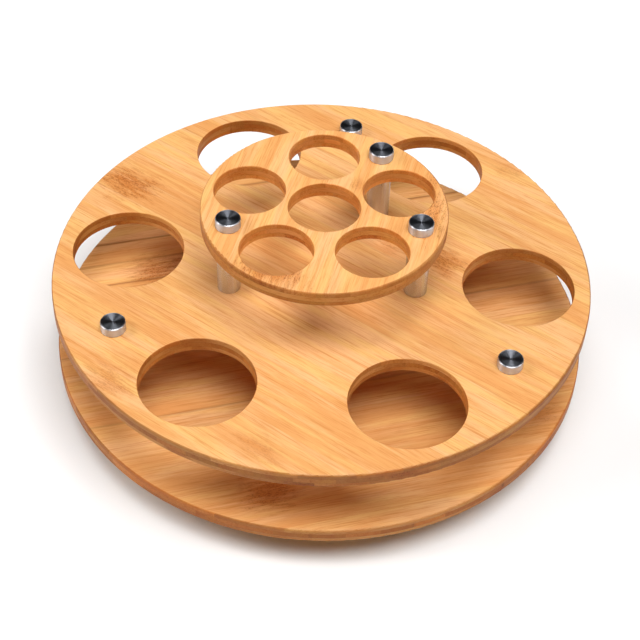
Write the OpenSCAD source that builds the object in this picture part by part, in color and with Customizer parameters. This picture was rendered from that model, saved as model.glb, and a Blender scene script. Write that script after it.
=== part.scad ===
// Three-tier bamboo turntable for glasses and jars.
// Two wide round trays and one small one are stacked on turned steel standoffs. The stack turns on
// a pressed-steel ball swivel, which is screwed to a small base disc on four rubber feet.
// Millimetres, +Z up. The origin is on the turning axis, at the surface that the feet stand on.

/* [Trays] */
// Diameter of the bottom and middle trays
tray_d = 350; // [340:1:420]
// Diameter of the top tray
top_tray_d = 157; // [154:1:170]
// Thickness of every tray
tray_t = 10.5; // [9:0.5:14]
// Rounding of a tray's outer edges
rim_round = 1.2; // [0.5:0.1:2]
// Rounding of the edges of the glass holes
hole_round = 0.6; // [0.3:0.1:1]

/* [Glass holes] */
// Number of large holes in the middle tray
large_holes = 6; // [4:1:6]
// Diameter of a large hole
large_hole_d = 72.5; // [60:0.5:76]
// Radius of the circle that the large holes lie on
large_ring_r = 128; // [122:1:130]
// Number of small holes round the middle of the top tray
small_holes = 5; // [5:1:5]
// Diameter of a small hole
small_hole_d = 46; // [38:0.5:47]
// Radius of the circle that the small holes lie on
small_ring_r = 50; // [49:0.5:51]
// Turn of the top tray against the middle tray, in degrees
top_turn = 6.3; // [0:0.1:12]

/* [Standoffs] */
// Diameter of a standoff's barrel
barrel_d = 15; // [12:0.5:16]
// Length of a standoff's barrel, which is the gap between two trays
barrel_l = 41.5; // [32:0.5:60]
// Diameter of a standoff's cap
cap_d = 16; // [14:0.5:18]
// Height of a standoff's cap
cap_h = 6.5; // [5:0.5:8]
// Depth of the dish in the top of a cap
dish_depth = 0.5; // [0.3:0.1:1.2]
// Outer diameter of the threads inside a standoff
thread_d = 6; // [5:0.5:6]
// Radius of the circle that the three lower standoffs stand on
lower_post_r = 143.5; // [140:0.5:150]
// Radius of the circle that the three upper standoffs stand on
upper_post_r = 63; // [62:0.5:66]

/* [Base] */
// Diameter of the base disc
base_d = 200; // [190:1:240]
// Thickness of the base disc
base_t = 10; // [9:0.5:14]
// Height of a rubber foot below the base disc
foot_h = 5; // [4:0.5:10]
// Diameter of a rubber foot
foot_d = 20; // [16:0.5:24]
// Radius of the circle that the feet stand on
foot_ring_r = 84; // [78:1:84]

/* [Swivel] */
// Width of the square swivel plates
plate_w = 100; // [98:0.5:101]
// Overall height of the swivel
swivel_h = 8; // [8:0.1:9]
// Thickness of the swivel's pressed sheet
sheet = 1; // [0.8:0.1:1]
// Distance between the screw holes along a swivel plate's side
plate_hole_pitch = 82; // [80:0.5:84]
// Radius of the circle that the balls roll on
race_r = 32; // [30:0.5:33]
// Diameter of a ball
ball_d = 4; // [3.6:0.1:4]
// Number of balls
balls = 24; // [12:1:26]

/* [Hidden] */
fine = 96;
small = 48;
past = 1;

// Heights, from the surface up
base_z = foot_h;
swivel_z = base_z + base_t;
bottom_z = swivel_z + swivel_h;
lower_barrel_z = bottom_z + tray_t;
middle_z = lower_barrel_z + barrel_l;
upper_barrel_z = middle_z + tray_t;
top_z = upper_barrel_z + barrel_l;

// Places round the axis, in degrees
large_step = 360 / large_holes;
small_step = 360 / small_holes;
top_start = 90 + top_turn;
lower_post_angles = [88, 211, 330];
// Each upper standoff stands midway between two of the small holes.
upper_post_angles = [for (gap = [1.5, 3.5, 4.5]) top_start + gap * small_step];
foot_angles = [45, 135, 225, 315];

// Threads, and the screws that hold the standoffs from below
thread_pitch = 1;
thread_depth = 0.55;
thread_gap = 0.08;
clear_hole_d = thread_d + 0.6;
stud_reach = 14;
screw_reach = 11;
sunk_head_d = 11.5;
sunk_head_h = 3.2;
sunk_gap = 0.3;
socket_d = 4;
socket_depth = 2.2;
turned_edge = 0.4;
cap_round = 0.7;
dish_flat = 0.6;

// Wood screws of the swivel and the feet
wood_screw_d = 4;
wood_screw_l = 7.5;
wood_point = 2;
wood_head_d = 7.4;
wood_head_h = 2;
cross_w = 1;
cross_l = 4.4;
cross_depth = 1.2;
pilot_gap = 0.06;
pilot_spare = 0.5;

// Swivel: each plate rises from a flat square sheet to a ring with a groove for the balls.
plate_corner_r = 7;
half_pitch = plate_hole_pitch / 2;
corners = [for (x = [-1, 1]) for (y = [-1, 1]) [x * half_pitch, y * half_pitch]];
mid = swivel_h / 2;
shelf = mid - 0.7;
groove_r = ball_d / 2 + 0.3;
ring_r = race_r + 5.5;
shoulder_r = race_r + 3.5;
slant = 0.45;
shelf_in_r = race_r - 4.5;
lip_r = shelf_in_r - 1;
hook_r = shelf_in_r + 0.6;
hook_far = swivel_h - 0.6;
cage_t = 0.8;
cage_half_w = ball_d / 2 + 0.9;
pocket_r = ball_d / 2 + 0.1;
access_d = 13;
access_r = norm([half_pitch, half_pitch]);

// Feet
foot_taper = 1.5;
foot_recess_d = 9.5;
foot_floor = 2;

POSTS = [1:3];
FEET = [1:4];

module at_angle(angle, radius, z = 0) {
    rotate([0, 0, angle]) translate([radius, 0, z]) children();
}

module at_corners(z) {
    for (c = corners) translate([c[0], c[1], z]) children();
}

// A round board with both outer edges rounded.
module board(d, t) {
    edge = d / 2 - rim_round;
    rotate_extrude($fn = fine) {
        square([edge, t]);
        translate([0, rim_round]) square([d / 2, t - 2 * rim_round]);
        for (z = [rim_round, t - rim_round]) translate([edge, z]) circle(rim_round, $fn = small);
    }
}

// Cuts a round hole through a tray and rounds its two edges.
module glass_hole(d) {
    r = d / 2;
    wall = tray_t - 2 * hole_round;
    translate([0, 0, -past]) cylinder(h = tray_t + 2 * past, r = r, $fn = fine);
    rotate_extrude($fn = fine) difference() {
        translate([r - past, -past]) square([past + hole_round, tray_t + 2 * past]);
        translate([r, hole_round]) square([hole_round + past, wall]);
        for (z = [hole_round, tray_t - hole_round])
            translate([r + hole_round, z]) circle(hole_round, $fn = small);
    }
}

// Cuts a plain hole through a tray for a standoff's thread.
module clear_hole() {
    translate([0, 0, -past]) cylinder(h = tray_t + 2 * past, d = clear_hole_d, $fn = small);
}

// Cuts a hole through a tray for a flat-headed screw that comes up from below.
module sunk_hole() {
    mouth_r = (sunk_head_d + sunk_gap) / 2;
    clear_r = clear_hole_d / 2;
    rotate_extrude($fn = small) polygon([
        [0, -past], [mouth_r, -past], [mouth_r, 0],
        [clear_r, sunk_head_h], [clear_r, tray_t + past], [0, tray_t + past]
    ]);
}

// Cuts a blind pilot hole for a wood screw, upwards from z = 0.
module pilot_hole(through) {
    translate([0, 0, -past]) cylinder(
        h = wood_screw_l - through + pilot_spare + past, r = wood_screw_d / 2 + pilot_gap, $fn = small
    );
}

// A threaded shank that stands on z = 0. Its threads are plain vees, and its end is blunt or a point.
module thread(d, l, point = 0) {
    r = d / 2;
    root = r - thread_depth;
    turns = floor((l - point) / thread_pitch - 0.5);
    vees = [for (i = [0:turns - 1]) for (k = [0, 1])
        [k == 0 ? r : root, thread_pitch * (i + 0.5 + k / 2)]];
    end = point > 0 ? [[root, l - point], [0.2, l], [0, l]] : [[root, l], [0, l]];
    rotate_extrude($fn = small) polygon(concat([[0, 0], [root, 0]], vees, end));
}

// A pan-headed wood screw with a cross slot. The head stands on z = 0 and the shank goes down.
module wood_screw() {
    dome_r = 4.6;
    difference() {
        rotate_extrude($fn = small) intersection() {
            square([wood_head_d / 2, wood_head_h]);
            translate([0, wood_head_h - dome_r]) circle(dome_r, $fn = fine);
        }
        for (turn = [0, 90]) rotate([0, 0, turn])
            translate([-cross_l / 2, -cross_w / 2, wood_head_h - cross_depth])
                cube([cross_l, cross_w, cross_depth + past]);
    }
    mirror([0, 0, 1]) thread(wood_screw_d, wood_screw_l, wood_point);
}

// A flat-headed socket screw. Its face is at z = 0 and its shank goes up.
module sunk_screw() {
    root = thread_d - 2 * thread_depth;
    difference() {
        cylinder(h = sunk_head_h, d1 = sunk_head_d, d2 = root, $fn = small);
        translate([0, 0, -past]) cylinder(h = socket_depth + past, d = socket_d, $fn = 6);
    }
    translate([0, 0, sunk_head_h]) thread(thread_d, tray_t - sunk_head_h + screw_reach);
}

// A turned tube that holds two trays apart.
module barrel() {
    inner = thread_d / 2 + thread_gap;
    r = barrel_d / 2;
    flat = r - turned_edge;
    color("silver") rotate_extrude($fn = fine) polygon([
        [inner, 0], [flat, 0], [r, turned_edge],
        [r, barrel_l - turned_edge], [flat, barrel_l], [inner, barrel_l]
    ]);
}

// A turned cap with a round top edge and a shallow dish. Its stud goes down through a tray into a barrel.
module cap() {
    r = cap_d / 2;
    inside = r - cap_round;
    shoulder = cap_h - cap_round;
    color("gainsboro") {
        rotate_extrude($fn = fine) {
            polygon([
                [0, 0], [r - turned_edge, 0], [r, turned_edge], [r, shoulder],
                [inside, shoulder], [inside, cap_h],
                [dish_flat, cap_h - dish_depth], [0, cap_h - dish_depth]
            ]);
            translate([inside, shoulder]) circle(cap_round, $fn = small);
        }
        mirror([0, 0, 1]) thread(thread_d, tray_t + stud_reach);
    }
}

module top_tray() {
    color("burlywood") translate([0, 0, top_z]) difference() {
        board(top_tray_d, tray_t);
        glass_hole(small_hole_d);
        for (i = [0:small_holes - 1])
            at_angle(top_start + i * small_step, small_ring_r) glass_hole(small_hole_d);
        for (a = upper_post_angles) at_angle(a, upper_post_r) clear_hole();
    }
}

module middle_tray() {
    color("burlywood") translate([0, 0, middle_z]) difference() {
        board(tray_d, tray_t);
        for (i = [0:large_holes - 1])
            at_angle(i * large_step, large_ring_r) glass_hole(large_hole_d);
        for (a = lower_post_angles) at_angle(a, lower_post_r) clear_hole();
        for (a = upper_post_angles) at_angle(a, upper_post_r) sunk_hole();
    }
}

module bottom_tray() {
    color("burlywood") translate([0, 0, bottom_z]) difference() {
        board(tray_d, tray_t);
        for (a = lower_post_angles) at_angle(a, lower_post_r) sunk_hole();
        at_corners(0) pilot_hole(sheet);
    }
}

// The access hole lets a screwdriver reach the screws of the swivel's top plate, one by one.
module base_disc() {
    color("burlywood") translate([0, 0, base_z]) difference() {
        board(base_d, base_t);
        at_angle(0, access_r, -past) cylinder(h = base_t + 2 * past, d = access_d, $fn = small);
        at_corners(base_t) mirror([0, 0, 1]) pilot_hole(sheet);
        for (a = foot_angles) at_angle(a, foot_ring_r) pilot_hole(foot_floor);
    }
}

module upper_barrel(i) {
    at_angle(upper_post_angles[i - 1], upper_post_r, upper_barrel_z) barrel();
}

module upper_cap(i) {
    at_angle(upper_post_angles[i - 1], upper_post_r, top_z + tray_t) cap();
}

module lower_barrel(i) {
    at_angle(lower_post_angles[i - 1], lower_post_r, lower_barrel_z) barrel();
}

module lower_cap(i) {
    at_angle(lower_post_angles[i - 1], lower_post_r, middle_z + tray_t) cap();
}

module upper_post_screws() {
    color("dimgray") for (a = upper_post_angles) at_angle(a, upper_post_r, middle_z) sunk_screw();
}

module lower_post_screws() {
    color("dimgray") for (a = lower_post_angles) at_angle(a, lower_post_r, bottom_z) sunk_screw();
}

// The flat square part of a swivel plate, on z = 0.
module plate_sheet() {
    straight = plate_w - 2 * plate_corner_r;
    bend = straight / 2;
    linear_extrude(sheet) difference() {
        union() {
            square([plate_w, straight], center = true);
            square([straight, plate_w], center = true);
            for (x = [-bend, bend]) for (y = [-bend, bend]) translate([x, y]) circle(plate_corner_r, $fn = small);
        }
        circle(ring_r, $fn = fine);
        for (c = corners) translate(c) circle(d = wood_screw_d + 0.6, $fn = small);
    }
}

// The pressed ring of a swivel plate. The points given are its inner edge, from the shelf's face down.
module plate_ring(inner_edge) {
    rotate_extrude($fn = fine) difference() {
        union() {
            polygon(concat(
                [[ring_r + past, 0], [ring_r + past, sheet], [ring_r, sheet], [shoulder_r, shelf]],
                inner_edge,
                [[shoulder_r - slant, shelf - sheet], [ring_r - slant, 0]]
            ));
            intersection() {
                translate([race_r, mid]) circle(groove_r + sheet, $fn = fine);
                translate([race_r - groove_r - sheet, 0]) square([2 * (groove_r + sheet), shelf]);
            }
        }
        translate([race_r, mid]) circle(groove_r, $fn = fine);
    }
}

module swivel_base_plate() {
    color("lightsteelblue") translate([0, 0, swivel_z]) {
        plate_sheet();
        plate_ring([[shelf_in_r, shelf], [shelf_in_r, shelf - sheet]]);
    }
}

// The top plate's inner edge hooks under the base plate's ring, and so holds the swivel together.
module swivel_top_plate() {
    color("lightsteelblue") translate([0, 0, bottom_z]) mirror([0, 0, 1]) {
        plate_sheet();
        plate_ring([
            [lip_r, shelf], [lip_r, hook_far - sheet], [hook_r, hook_far - sheet],
            [hook_r, hook_far], [lip_r - sheet, hook_far], [lip_r - sheet, shelf - sheet]
        ]);
    }
}

module ball_cage() {
    color("ivory") translate([0, 0, swivel_z + mid - cage_t / 2]) difference() {
        cylinder(h = cage_t, r = race_r + cage_half_w, $fn = fine);
        translate([0, 0, -past]) cylinder(h = cage_t + 2 * past, r = race_r - cage_half_w, $fn = fine);
        for (i = [0:balls - 1]) at_angle(i * 360 / balls, race_r, -past)
            cylinder(h = cage_t + 2 * past, r = pocket_r, $fn = small);
    }
}

module bearing_balls() {
    color("silver") for (i = [0:balls - 1])
        at_angle(i * 360 / balls, race_r, swivel_z + mid) sphere(d = ball_d, $fn = small);
}

module tray_screws() {
    color("dimgray") at_corners(bottom_z - sheet) mirror([0, 0, 1]) wood_screw();
}

module base_screws() {
    color("dimgray") at_corners(swivel_z + sheet) wood_screw();
}

module rubber_foot(i) {
    hole_r = wood_screw_d / 2 + pilot_gap;
    recess_r = foot_recess_d / 2;
    top_r = foot_d / 2;
    color("black") at_angle(foot_angles[i - 1], foot_ring_r) rotate_extrude($fn = fine) polygon([
        [recess_r, 0], [top_r - foot_taper, 0], [top_r, foot_h], [hole_r, foot_h],
        [hole_r, foot_h - foot_floor], [recess_r, foot_h - foot_floor]
    ]);
}

module foot_screws() {
    color("dimgray") for (a = foot_angles)
        at_angle(a, foot_ring_r, foot_h - foot_floor) mirror([0, 0, 1]) wood_screw();
}

top_tray();
middle_tray();
bottom_tray();
base_disc();
for (i = POSTS) {
    upper_barrel(i);
    upper_cap(i);
    lower_barrel(i);
    lower_cap(i);
}
upper_post_screws();
lower_post_screws();
swivel_top_plate();
swivel_base_plate();
ball_cage();
bearing_balls();
tray_screws();
base_screws();
for (i = FEET) {
    rubber_foot(i);
}
foot_screws();
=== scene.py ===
import math

import bpy
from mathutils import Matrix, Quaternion, Vector


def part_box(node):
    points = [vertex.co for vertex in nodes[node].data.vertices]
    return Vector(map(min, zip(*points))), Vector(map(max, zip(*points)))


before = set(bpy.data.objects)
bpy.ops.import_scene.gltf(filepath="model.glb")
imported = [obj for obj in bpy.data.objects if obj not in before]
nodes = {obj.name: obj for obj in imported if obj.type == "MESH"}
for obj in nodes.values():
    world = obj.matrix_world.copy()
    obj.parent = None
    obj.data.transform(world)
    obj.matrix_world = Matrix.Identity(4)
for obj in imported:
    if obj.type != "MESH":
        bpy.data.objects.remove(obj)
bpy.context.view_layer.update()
print("frame loaded:", len(nodes), "nodes")


def screenColour(r, g, b):
    # a colour as it looks on screen, turned into the linear values that shaders take
    def toLinear(c):
        return c / 12.92 if c <= 0.04045 else ((c + 0.055) / 1.055) ** 2.4
    return (toLinear(r), toLinear(g), toLinear(b), 1.0)


def shaded(colour, amount):
    # a colour made darker (amount under 1) or lighter
    return tuple(amount * c for c in colour[:3]) + (1.0,)


def newFinish(name):
    # an empty material and its Principled shader
    finish = bpy.data.materials.new(name)
    finish.use_nodes = True
    shader = finish.node_tree.nodes["Principled BSDF"]
    return finish, finish.node_tree, shader


def feed(tree, socket, value):
    # a value is another node's output, or a plain number, vector or colour
    if isinstance(value, bpy.types.NodeSocket):
        tree.links.new(value, socket)
    elif value is not None:
        socket.default_value = value


def calc(tree, operation, a, b=None, c=None):
    node = tree.nodes.new("ShaderNodeMath")
    node.operation = operation
    for socket, value in zip(node.inputs, (a, b, c)):
        feed(tree, socket, value)
    return node.outputs[0]


def ease(tree, value, start, end, low=0.0, high=1.0):
    # low before start, high after end, and a smooth step between
    node = tree.nodes.new("ShaderNodeMapRange")
    node.interpolation_type = "SMOOTHSTEP"
    for socket, number in zip(node.inputs, (value, start, end, low, high)):
        feed(tree, socket, number)
    return node.outputs[0]


def joinXyz(tree, x, y, z):
    node = tree.nodes.new("ShaderNodeCombineXYZ")
    for socket, value in zip(node.inputs, (x, y, z)):
        feed(tree, socket, value)
    return node.outputs[0]


def splitXyz(tree, vector):
    node = tree.nodes.new("ShaderNodeSeparateXYZ")
    feed(tree, node.inputs[0], vector)
    return node.outputs


def scaled(tree, vector, scale):
    node = tree.nodes.new("ShaderNodeVectorMath")
    node.operation = "SCALE"
    feed(tree, node.inputs[0], vector)
    node.inputs["Scale"].default_value = scale
    return node.outputs[0]


def noise(tree, vector, detail=2.0, roughness=0.5, distortion=0.0):
    node = tree.nodes.new("ShaderNodeTexNoise")
    feed(tree, node.inputs["Vector"], vector)
    node.inputs["Scale"].default_value = 1.0
    node.inputs["Detail"].default_value = detail
    node.inputs["Roughness"].default_value = roughness
    node.inputs["Distortion"].default_value = distortion
    return node.outputs["Fac"]


def chance(tree, value):
    # one fixed random number from 0 to 1 for each value
    node = tree.nodes.new("ShaderNodeTexWhiteNoise")
    node.noise_dimensions = "1D"
    feed(tree, node.inputs["W"], value)
    return node.outputs["Value"]


def blendColour(tree, share, a, b, how="MIX"):
    node = tree.nodes.new("ShaderNodeMix")
    node.data_type = "RGBA"
    node.blend_type = how
    feed(tree, node.inputs[0], share)
    feed(tree, node.inputs[6], a)
    feed(tree, node.inputs[7], b)
    return node.outputs[2]


def blendNumber(tree, share, a, b):
    node = tree.nodes.new("ShaderNodeMix")
    node.data_type = "FLOAT"
    feed(tree, node.inputs[0], share)
    feed(tree, node.inputs[2], a)
    feed(tree, node.inputs[3], b)
    return node.outputs[0]


def length2d(tree, x, y):
    return calc(tree, "SQRT", calc(tree, "MULTIPLY_ADD", x, x, calc(tree, "MULTIPLY", y, y)))


def emboss(tree, shader, height, distance, strength):
    node = tree.nodes.new("ShaderNodeBump")
    node.inputs["Strength"].default_value = strength
    node.inputs["Distance"].default_value = distance
    feed(tree, node.inputs["Height"], height)
    tree.links.new(node.outputs["Normal"], shader.inputs["Normal"])


def dress(nodeNames, finish):
    for name in nodeNames:
        for slot in nodes[name].material_slots:
            slot.material = finish


bambooLook = {
    "pale": screenColour(0.882, 0.680, 0.470),
    "straw": screenColour(0.880, 0.685, 0.425),
    "honey": screenColour(0.838, 0.592, 0.352),
    "streak": screenColour(0.755, 0.475, 0.230),
    "knuckle": screenColour(0.715, 0.410, 0.165),
    "fleck": screenColour(0.500, 0.240, 0.070),
    "glue": screenColour(0.470, 0.270, 0.105),
    # cut edges drink more oil and look darker, most of all where the cut is across the fibres
    "sideCut": (0.86, 0.70, 0.47, 1.0), "endCut": (0.62, 0.36, 0.13, 1.0),
    # the levels of noise between which each colour comes in
    "strawRange": (0.38, 0.62), "honeyRange": (0.42, 0.76), "lineRange": (0.44, 0.66),
    "bandRange": (0.44, 0.68), "poreRange": (0.58, 0.74), "fleckRange": (0.51, 0.59),
    # how strongly they come in, from 0 to 1
    "caneShade": 0.16, "lineStrength": 0.34, "bandStrength": 0.40, "poreStrength": 0.34,
    "knuckleStrength": 0.75, "fleckStrength": 0.62,
    "glueWidth": 1.8,   # millimetres
    "cutBrightness": 0.78, "plyLineDepth": 0.10,
    "roughness": 0.39, "fibreRoughness": 0.14, "cutRoughness": 0.08, "specular": 0.2,
    "grainDepth": 0.00012, "grainStrength": 0.5,
    "caneStep": 310.0, "spareKnuckle": 12.0,   # millimetres from knuckle to knuckle, and half its length
}

# The grain's features: millimetres along the fibres and across them, then detail, roughness and twist.
fibreSizes = {
    "cloud": (60.0, 12.0, 2.0, 0.5, 0.0),
    "hue": (75.0, 9.0, 1.0, 0.5, 0.2),
    "band": (75.0, 3.2, 2.0, 0.6, 0.0),
    "fine": (24.0, 0.85, 3.0, 0.65, 0.0),
    "pore": (8.0, 0.45, 1.0, 0.4, 0.0),
    "wobble": (14.0, 2.4, 3.0, 0.6, 0.0),
    "fleck": (3.6, 1.4, 1.0, 0.5, 2.2),
    "glue": (60.0, 5.0, 2.0, 0.5, 0.0),
}

# Grain directions are degrees anticlockwise from +X, seen from above. Knuckles are the joints of the
# bamboo cane: x, y, length along the grain and width in millimetres, shade and flecks.
trayLooks = {
    "top_tray": {
        "grain": 82, "seed": 11, "stripWidth": 19.5, "glueLines": 0.2, "tone": 1.06,
        "rimPaintedShade": 0.98, "wallPaintedLight": 1.35, "edgeVariety": 0.12, "endShade": 0.36,
        "knuckles": [(-26, -64, 18, 34, 0.9, 1.0), (68, 2, 34, 17, 0.35, 1.0),
                     (19, 26, 10, 8, 0.5, 0.5), (66, 34, 14, 10, 0.4, 0.6)],
    },
    "middle_tray": {
        "grain": 150, "seed": 3, "stripWidth": 20.5, "glueLines": 0.15, "tone": 1.0,
        "rimPaintedShade": 0.83, "wallPaintedLight": 1.12, "edgeVariety": 0.20, "endShade": 0.75,
        "knuckles": [(-141, 66, 34, 21, 1.0, 1.0), (78, 15, 20, 17, 0.9, 0.9),
                     (-117, -118, 26, 20, 0.55, 0.4), (44, 33, 16, 18, 0.5, 0.5),
                     (-20, -158, 24, 14, 0.4, 0.3), (120, 118, 20, 15, 0.35, 0.3)],
    },
    "bottom_tray": {
        "grain": 21, "seed": 29, "stripWidth": 21.0, "glueLines": 0.7, "tone": 0.97,
        "rimPaintedShade": 1.0, "wallPaintedLight": 1.0, "edgeVariety": 0.28, "endShade": 0.9,
        "knuckles": [(-117, 36, 28, 22, 0.9, 0.9), (-14, -148, 26, 20, 0.9, 0.8),
                     (150, -60, 20, 18, 0.4, 0.4)],
    },
    "base_disc": {
        "grain": 96, "seed": 47, "stripWidth": 20.0, "glueLines": 0.4, "tone": 0.98,
        "rimPaintedShade": 1.0, "wallPaintedLight": 1.0, "edgeVariety": 0.28, "endShade": 1.0,
        "knuckles": [(30, 52, 24, 20, 0.8, 0.8), (-62, -20, 22, 18, 0.7, 0.7)],
    },
}

boardRules = {
    "plies": 2.999,   # three, less a hair, so that the upper face belongs to the top ply
    "stripShift": 0.37,   # how far the joints of the strips move on from ply to ply, in strips
    "numberStep": 61.0,   # keeps the numbers of one ply's strips apart from the next ply's
    "slip": 900.0, "dip": 300.0,   # millimetres: each cane's grain starts at a chance place within these
    "rimBand": 0.003,   # metres: a cut this near the outside is the rim, and not a hole's wall
}


def layUp(tree, nodeName):
    # where a point lies in its board: the ply, the strip, and the place along and across the fibres
    look = trayLooks[nodeName]
    low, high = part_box(nodeName)
    x, y, z = splitXyz(tree, tree.nodes.new("ShaderNodeTexCoord").outputs["Object"])
    turn = math.radians(look["grain"])

    def measured(angle):
        # millimetres in one direction of the board's plane
        return calc(tree, "MULTIPLY_ADD", x, 1000 * math.cos(angle),
                    calc(tree, "MULTIPLY", y, 1000 * math.sin(angle)))

    faceAlong = measured(turn)
    faceAcross = measured(turn + math.pi / 2)
    depth = calc(tree, "MULTIPLY_ADD", z, 1000.0, -1000 * low.z)
    plyPlace = calc(tree, "MULTIPLY", depth, boardRules["plies"] / (1000 * (high.z - low.z)))
    ply = calc(tree, "FLOOR", plyPlace)
    isCore = calc(tree, "COMPARE", ply, 1.0, 0.1)   # the middle ply is laid crosswise
    isTop = calc(tree, "GREATER_THAN", ply, 1.5)
    along = blendNumber(tree, isCore, faceAlong, faceAcross)
    across = blendNumber(tree, isCore, faceAcross, faceAlong)

    # each ply is pressed from strips, and each strip comes from another cane
    stripPlace = calc(tree, "ADD", calc(tree, "DIVIDE", across, look["stripWidth"]),
                      calc(tree, "MULTIPLY", ply, boardRules["stripShift"]))
    strip = calc(tree, "MULTIPLY_ADD", ply, boardRules["numberStep"], calc(tree, "FLOOR", stripPlace))
    stripId = calc(tree, "ADD", strip, look["seed"] + 0.5)
    cane = chance(tree, stripId)
    caneDip = chance(tree, calc(tree, "ADD", stripId, 400.0))
    return {
        "turn": turn, "x": x, "y": y, "rimStart": high.x - boardRules["rimBand"],
        "faceAlong": faceAlong, "faceAcross": faceAcross, "across": across,
        "plyPlace": plyPlace, "isCore": isCore, "isTop": isTop,
        "stripPlace": stripPlace, "stripId": stripId, "cane": cane,
        "alongCane": calc(tree, "ADD", along, calc(tree, "MULTIPLY", cane, boardRules["slip"])),
        "deep": calc(tree, "ADD", depth, calc(tree, "MULTIPLY", caneDip, boardRules["dip"])),
    }


def fibres(tree, wood, kind):
    # noise drawn out along the grain
    stretch, width, detail, roughness, twist = fibreSizes[kind]
    return noise(tree, joinXyz(
        tree,
        calc(tree, "DIVIDE", wood["alongCane"], stretch),
        calc(tree, "DIVIDE", wood["across"], width),
        calc(tree, "DIVIDE", wood["deep"], width),
    ), detail, roughness, twist)


def knuckleMarks(tree, wood, look):
    # how dark and how flecked each point is, where the cane had its joints
    wobble = calc(tree, "MULTIPLY_ADD", fibres(tree, wood, "wobble"), 2.0, -1.0)
    turn = wood["turn"]
    dark = 0.0
    spotted = 0.0
    for x, y, length, width, shade, flecked in look["knuckles"]:
        along = calc(tree, "SUBTRACT", wood["faceAlong"], x * math.cos(turn) + y * math.sin(turn))
        across = calc(tree, "SUBTRACT", wood["faceAcross"], y * math.cos(turn) - x * math.sin(turn))
        far = length2d(tree, calc(tree, "DIVIDE", along, length), calc(tree, "DIVIDE", across, width))
        mark = ease(tree, calc(tree, "ADD", far, wobble), 0.95, 0.05)
        dark = calc(tree, "MAXIMUM", dark, calc(tree, "MULTIPLY", mark, shade))
        spotted = calc(tree, "MAXIMUM", spotted, calc(tree, "MULTIPLY", mark, flecked))
    dark = calc(tree, "MULTIPLY", dark, wood["isTop"])
    spotted = calc(tree, "MULTIPLY", spotted, wood["isTop"])

    # the lower plies have theirs at chance places along each strip
    step = bambooLook["caneStep"]
    phase = calc(tree, "FRACT", calc(tree, "DIVIDE", wood["alongCane"], step))
    away = calc(tree, "MULTIPLY", calc(tree, "ABSOLUTE", calc(tree, "SUBTRACT", phase, 0.5)),
                step / bambooLook["spareKnuckle"])
    spare = ease(tree, calc(tree, "ADD", away, wobble), 0.95, 0.1, 0.0, 0.75)
    spare = calc(tree, "MULTIPLY", spare, calc(tree, "SUBTRACT", 1.0, wood["isTop"]))
    return calc(tree, "MAXIMUM", dark, spare), calc(tree, "MAXIMUM", spotted, spare)


def faceColour(tree, wood, look, fine, pores):
    band = fibres(tree, wood, "band")
    ground = blendColour(tree, ease(tree, fibres(tree, wood, "hue"), *bambooLook["strawRange"]),
                         bambooLook["pale"], bambooLook["straw"])
    tone = calc(tree, "ADD", calc(tree, "MULTIPLY", fibres(tree, wood, "cloud"), 0.6),
                calc(tree, "MULTIPLY", band, 0.4))
    tone = calc(tree, "MULTIPLY_ADD", wood["cane"], bambooLook["caneShade"], tone)
    colour = blendColour(tree, ease(tree, tone, *bambooLook["honeyRange"]), ground, bambooLook["honey"])

    # fine lines everywhere, stronger where a darker band runs
    lines = ease(tree, fine, *bambooLook["lineRange"])
    bands = ease(tree, band, *bambooLook["bandRange"])
    streaks = calc(tree, "MULTIPLY", lines, calc(tree, "MULTIPLY_ADD", bands, bambooLook["bandStrength"],
                                                 bambooLook["lineStrength"]))
    colour = blendColour(tree, streaks, colour, bambooLook["streak"])
    poreMarks = ease(tree, pores, *bambooLook["poreRange"], 0.0, bambooLook["poreStrength"])
    colour = blendColour(tree, poreMarks, colour, bambooLook["streak"])

    dark, spotted = knuckleMarks(tree, wood, look)
    colour = blendColour(tree, calc(tree, "MULTIPLY", dark, bambooLook["knuckleStrength"]),
                         colour, bambooLook["knuckle"])
    flecks = calc(tree, "MULTIPLY", ease(tree, fibres(tree, wood, "fleck"), *bambooLook["fleckRange"]),
                  spotted)
    return blendColour(tree, calc(tree, "MULTIPLY", flecks, bambooLook["fleckStrength"]),
                       colour, bambooLook["fleck"])


def glueLines(tree, wood, look):
    # thin dark lines between some of the strips, fainter here and there
    place = wood["stripPlace"]
    offCentre = calc(tree, "ABSOLUTE", calc(tree, "SUBTRACT", calc(tree, "FRACT", place), 0.5))
    gap = calc(tree, "MULTIPLY", calc(tree, "SUBTRACT", 0.5, offCentre), look["stripWidth"])
    whichJoint = calc(tree, "ADD", calc(tree, "ROUND", place), look["seed"] + 900.5)
    shown = ease(tree, chance(tree, whichJoint), 0.35, 0.95)
    soaked = calc(tree, "MULTIPLY_ADD", ease(tree, fibres(tree, wood, "glue"), 0.35, 0.6), 0.6, 0.4)
    return calc(tree, "MULTIPLY", ease(tree, gap, bambooLook["glueWidth"], 0.1),
                calc(tree, "MULTIPLY", shown, soaked))


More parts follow.
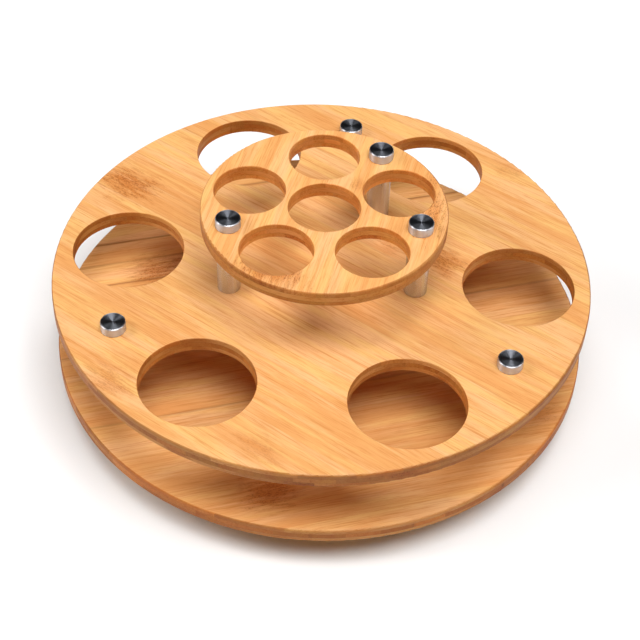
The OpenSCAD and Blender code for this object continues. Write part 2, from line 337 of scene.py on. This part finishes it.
def cutColour(tree, wood, look, normal, colour):
    # the rim and the walls of the holes: each ply and strip is a little different there
    plyGap = calc(tree, "FRACT", wood["plyPlace"])
    plyLine = ease(tree, calc(tree, "MINIMUM", plyGap, calc(tree, "SUBTRACT", 1.0, plyGap)), 0.10, 0.02)
    variety = ease(tree, chance(tree, calc(tree, "ADD", wood["stripId"], 77.0)), 0.45, 0.95)
    tone = calc(tree, "MULTIPLY_ADD", variety, look["edgeVariety"], bambooLook["cutBrightness"])
    tone = calc(tree, "MULTIPLY_ADD", plyLine, -bambooLook["plyLineDepth"], tone)
    # the outer rim darker and the hole walls lighter: painted shade on the rim and painted light in the holes
    onRim = calc(tree, "GREATER_THAN", length2d(tree, wood["x"], wood["y"]), wood["rimStart"])
    tone = calc(tree, "MULTIPLY", tone, blendNumber(tree, onRim, look["wallPaintedLight"], look["rimPaintedShade"]))

    def facing(angle):
        # 1 where the cut faces along this direction, 0 where it faces across it
        return calc(tree, "ABSOLUTE", calc(tree, "MULTIPLY_ADD", normal[0], math.cos(angle),
                                           calc(tree, "MULTIPLY", normal[1], math.sin(angle))))

    turn = wood["turn"]
    acrossFibres = blendNumber(tree, wood["isCore"], facing(turn), facing(turn + math.pi / 2))
    endGrain = ease(tree, acrossFibres, 0.15, 0.75, 0.0, look["endShade"])
    stain = blendColour(tree, endGrain, bambooLook["sideCut"], bambooLook["endCut"])
    return blendColour(tree, 1.0, blendColour(tree, 1.0, colour, stain, "MULTIPLY"),
                       joinXyz(tree, tone, tone, tone), "MULTIPLY")


def bambooFinish(nodeName):
    look = trayLooks[nodeName]
    finish, tree, shader = newFinish("bamboo." + nodeName)
    wood = layUp(tree, nodeName)
    normal = splitXyz(tree, tree.nodes.new("ShaderNodeTexCoord").outputs["Normal"])
    onFace = ease(tree, calc(tree, "ABSOLUTE", normal[2]), 0.78, 0.985)
    fine = fibres(tree, wood, "fine")
    pores = fibres(tree, wood, "pore")

    glue = glueLines(tree, wood, look)
    colour = blendColour(tree, calc(tree, "MULTIPLY", glue, look["glueLines"]),
                         faceColour(tree, wood, look, fine, pores), bambooLook["glue"])
    colour = blendColour(tree, onFace, cutColour(tree, wood, look, normal, colour), colour)
    colour = blendColour(tree, 1.0, colour, shaded((1.0, 1.0, 1.0), look["tone"]), "MULTIPLY")
    tree.links.new(colour, shader.inputs["Base Color"])

    rough = calc(tree, "MULTIPLY_ADD", fine, bambooLook["fibreRoughness"], bambooLook["roughness"])
    rough = calc(tree, "MULTIPLY_ADD", onFace, -bambooLook["cutRoughness"],
                 calc(tree, "ADD", rough, bambooLook["cutRoughness"]))
    tree.links.new(rough, shader.inputs["Roughness"])
    shader.inputs["Specular IOR Level"].default_value = bambooLook["specular"]
    height = calc(tree, "MULTIPLY_ADD", fine, 0.55, calc(tree, "MULTIPLY", pores, 0.45))
    height = calc(tree, "MULTIPLY_ADD", glue, -0.2, height)
    emboss(tree, shader, height, bambooLook["grainDepth"], bambooLook["grainStrength"])
    return finish


for trayName in trayLooks:
    dress([trayName], bambooFinish(trayName))
print("bamboo done")


turnedLook = {
    "barrel": (0.60, 0.60, 0.61, 1.0), "barrelSmear": 0.88, "barrelRoughness": 0.23,
    "cap": (0.62, 0.62, 0.65, 1.0), "capRoughness": 0.39,
    "face": (0.27, 0.285, 0.325, 1.0), "faceRing": 1.3, "faceRoughness": 0.29,   # the spun face of a cap, its dark bluish colour a painted reflection of the dark studio above
    "faceWidth": 14.6, "capWidth": 16.0,   # millimetres
    "turning": 0.85,   # how far the turning marks draw a highlight out
}


def turned(tree, shader):
    # the turning marks run round the axis, so a highlight spreads across them
    shader.inputs["Metallic"].default_value = 1.0
    shader.inputs["Anisotropic"].default_value = turnedLook["turning"]
    shader.inputs["Anisotropic Rotation"].default_value = 0.25
    tangent = tree.nodes.new("ShaderNodeTangent")
    tangent.direction_type = "RADIAL"
    tangent.axis = "Z"
    tree.links.new(tangent.outputs[0], shader.inputs["Tangent"])


def barrelFinish():
    finish, tree, shader = newFinish("turned.barrel")
    x, y, z = splitXyz(tree, tree.nodes.new("ShaderNodeTexCoord").outputs["Object"])

    def marks(sideways, upright):
        return noise(tree, joinXyz(tree, calc(tree, "MULTIPLY", x, sideways),
                                   calc(tree, "MULTIPLY", y, sideways), calc(tree, "MULTIPLY", z, upright)))

    smears = ease(tree, marks(220.0, 20.0), 0.4, 0.65)
    dim = shaded(turnedLook["barrel"], turnedLook["barrelSmear"])
    tree.links.new(blendColour(tree, smears, turnedLook["barrel"], dim), shader.inputs["Base Color"])
    tree.links.new(calc(tree, "MULTIPLY_ADD", marks(60.0, 1600.0), 0.06, turnedLook["barrelRoughness"]),
                   shader.inputs["Roughness"])
    turned(tree, shader)
    return finish


def capFinish():
    finish, tree, shader = newFinish("turned.cap")
    place = tree.nodes.new("ShaderNodeTexCoord")
    middle = splitXyz(tree, place.outputs["Generated"])
    width = turnedLook["capWidth"]
    out = length2d(tree, calc(tree, "MULTIPLY", calc(tree, "SUBTRACT", middle[0], 0.5), width),
                   calc(tree, "MULTIPLY", calc(tree, "SUBTRACT", middle[1], 0.5), width))
    height = splitXyz(tree, place.outputs["Object"])[2]
    rings = noise(tree, joinXyz(tree, calc(tree, "MULTIPLY", out, 3.2), 0.0,
                                calc(tree, "MULTIPLY", height, 1200.0)), 3.0)
    up = splitXyz(tree, place.outputs["Normal"])[2]
    faceEdge = turnedLook["faceWidth"] / 2
    face = calc(tree, "MULTIPLY", ease(tree, up, 0.90, 0.96), ease(tree, out, faceEdge + 0.1, faceEdge - 0.1))
    # the dark face colour is a painted reflection, a little lighter along the turning rings
    spun = blendColour(tree, ease(tree, rings, 0.35, 0.65), turnedLook["face"],
                       shaded(turnedLook["face"], turnedLook["faceRing"]))
    tree.links.new(blendColour(tree, face, turnedLook["cap"], spun), shader.inputs["Base Color"])
    rough = blendNumber(tree, face, turnedLook["capRoughness"], turnedLook["faceRoughness"])
    tree.links.new(calc(tree, "MULTIPLY_ADD", rings, 0.10, rough), shader.inputs["Roughness"])
    turned(tree, shader)
    return finish


postNumbers = range(1, 4)
dress([f"{tier}_barrel_{i}" for tier in ("upper", "lower") for i in postNumbers], barrelFinish())
dress([f"{tier}_cap_{i}" for tier in ("upper", "lower") for i in postNumbers], capFinish())


# Pressed and rolled steel. Mottle is how much darker the coating's cloudy spots are.
platedLooks = {
    "plated.sheet": {"nodes": ["swivel_top_plate", "swivel_base_plate"],
                     "colour": (0.60, 0.62, 0.64, 1.0), "roughness": 0.24, "mottle": 0.18},
    "plated.screw": {"nodes": ["tray_screws", "base_screws", "foot_screws"],
                     "colour": (0.56, 0.55, 0.52, 1.0), "roughness": 0.20, "mottle": 0.12},
    "black.screw": {"nodes": ["upper_post_screws", "lower_post_screws"],
                    "colour": (0.10, 0.10, 0.105, 1.0), "roughness": 0.24, "mottle": 0.25},
    "ball.steel": {"nodes": ["bearing_balls"],
                   "colour": (0.72, 0.72, 0.74, 1.0), "roughness": 0.06, "mottle": 0.05},
}


def platedFinish(name):
    look = platedLooks[name]
    finish, tree, shader = newFinish(name)
    place = tree.nodes.new("ShaderNodeTexCoord").outputs["Object"]
    spots = noise(tree, scaled(tree, place, 90.0), 3.0)
    specks = noise(tree, scaled(tree, place, 1400.0))
    dim = shaded(look["colour"], 1 - look["mottle"])
    tree.links.new(blendColour(tree, ease(tree, spots, 0.35, 0.7), look["colour"], dim),
                   shader.inputs["Base Color"])
    shader.inputs["Metallic"].default_value = 1.0
    tree.links.new(calc(tree, "MULTIPLY_ADD", spots, 0.2, look["roughness"]), shader.inputs["Roughness"])
    emboss(tree, shader, specks, 0.00002, 0.4)
    return finish


for platedName, platedLook in platedLooks.items():
    dress(platedLook["nodes"], platedFinish(platedName))


rubberLook = {
    "dark": (0.012, 0.012, 0.013, 1.0), "light": (0.030, 0.030, 0.031, 1.0),
    "gritPerMetre": 1500.0, "gritDepth": 0.00006, "roughness": 0.6,
}


def rubberFinish():
    finish, tree, shader = newFinish("rubber")
    place = tree.nodes.new("ShaderNodeTexCoord").outputs["Object"]
    grit = noise(tree, scaled(tree, place, rubberLook["gritPerMetre"]), 3.0)
    tree.links.new(blendColour(tree, grit, rubberLook["dark"], rubberLook["light"]),
                   shader.inputs["Base Color"])
    tree.links.new(calc(tree, "MULTIPLY_ADD", grit, 0.2, rubberLook["roughness"]), shader.inputs["Roughness"])
    emboss(tree, shader, grit, rubberLook["gritDepth"], 0.5)
    return finish


nylonLook = {
    "dark": (0.72, 0.70, 0.62, 1.0), "light": (0.80, 0.78, 0.71, 1.0),
    "hazePerMetre": 300.0, "roughness": 0.38,
}


def nylonFinish():
    finish, tree, shader = newFinish("nylon")
    place = tree.nodes.new("ShaderNodeTexCoord").outputs["Object"]
    haze = noise(tree, scaled(tree, place, nylonLook["hazePerMetre"]), 3.0)
    tree.links.new(blendColour(tree, haze, nylonLook["dark"], nylonLook["light"]),
                   shader.inputs["Base Color"])
    tree.links.new(calc(tree, "MULTIPLY_ADD", haze, 0.15, nylonLook["roughness"]), shader.inputs["Roughness"])
    return finish


dress([f"rubber_foot_{i}" for i in range(1, 5)], rubberFinish())
dress(["ball_cage"], nylonFinish())
print("metal, rubber and cage done")


viewLook = {
    "azimuth": 4.7, "elevation": 43.09, "roll": 2.3,   # degrees
    "distance": 5.8625, "aimForward": 0.2777,   # in radii of the middle tray
    "lens": 88.33, "sensor": 36,   # millimetres
}

trayLow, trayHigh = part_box("middle_tray")
trayRadius = (trayHigh.x - trayLow.x) / 2
trayTop = Vector((0, 0, trayHigh.z))
around = math.radians(viewLook["azimuth"])
above = math.radians(viewLook["elevation"])
forward = Vector((math.sin(around), -math.cos(around), 0))   # level, from the axis towards the viewer
outward = forward * math.cos(above) + Vector((0, 0, math.sin(above)))
eye = trayTop + viewLook["distance"] * trayRadius * outward
aim = trayTop + viewLook["aimForward"] * trayRadius * forward

camera = bpy.data.objects.new("camera", bpy.data.cameras.new("camera"))
bpy.context.scene.collection.objects.link(camera)
camera.location = eye
camera.rotation_mode = "QUATERNION"
camera.rotation_quaternion = ((aim - eye).to_track_quat("-Z", "Y")
                              @ Quaternion((0, 0, 1), math.radians(viewLook["roll"])))
camera.data.lens = viewLook["lens"]
camera.data.sensor_width = viewLook["sensor"]
bpy.context.scene.camera = camera


lightLook = {
    # place, size and power of each soft box, in metres and watts
    "boxes": {
        "overhead": ((0.5, -0.85, 3.9), 2.6, 182.0),
        "left": ((-2.6, -0.3, 2.1), 1.5, 56.0),
        "right": ((2.6, 0.2, 2.2), 1.7, 30.0),
    },
    "aimHeight": 0.06,
    # the studio is dark above and pale low down
    "overheadSky": 0.01, "horizon": 0.65, "skyFade": (0.02, 0.26), "skyColour": (1.0, 0.99, 0.97, 1.0),
    "floor": (0.80, 0.80, 0.80, 1.0), "floorRoughness": 0.9, "floorRadius": 2.6, "floorSides": 96,
}


def softBox(name, place, size, power):
    lamp = bpy.data.objects.new(name, bpy.data.lights.new(name, "AREA"))
    bpy.context.scene.collection.objects.link(lamp)
    lamp.data.shape = "SQUARE"
    lamp.data.size = size
    lamp.data.energy = power
    lamp.location = place
    lamp.rotation_mode = "QUATERNION"
    target = Vector((0, 0, lightLook["aimHeight"]))
    lamp.rotation_quaternion = (target - Vector(place)).to_track_quat("-Z", "Y")


def studioSky():
    world = bpy.data.worlds.new("studio")
    bpy.context.scene.world = world
    world.use_nodes = True
    tree = world.node_tree
    background = tree.nodes["Background"]
    background.inputs["Color"].default_value = lightLook["skyColour"]
    height = splitXyz(tree, tree.nodes.new("ShaderNodeTexCoord").outputs["Generated"])[2]
    fadeStart, fadeEnd = lightLook["skyFade"]
    tree.links.new(ease(tree, height, fadeStart, fadeEnd, lightLook["horizon"], lightLook["overheadSky"]),
                   background.inputs["Strength"])


def studioFloor():
    radius = lightLook["floorRadius"]
    sides = lightLook["floorSides"]
    turns = [2 * math.pi * i / sides for i in range(sides)]
    corners = [(radius * math.cos(turn), radius * math.sin(turn), 0) for turn in turns]
    mesh = bpy.data.meshes.new("floor")
    mesh.from_pydata(corners, [], [tuple(range(sides))])
    finish, _, shader = newFinish("floor")
    shader.inputs["Base Color"].default_value = lightLook["floor"]
    shader.inputs["Roughness"].default_value = lightLook["floorRoughness"]
    mesh.materials.append(finish)
    floor = bpy.data.objects.new("floor", mesh)
    bpy.context.scene.collection.objects.link(floor)
    return floor


for boxName, (place, size, power) in lightLook["boxes"].items():
    softBox(boxName, place, size, power)
studioSky()
floor = studioFloor()
bpy.context.scene.view_settings.view_transform = "Standard"
print("camera, floor and light done")
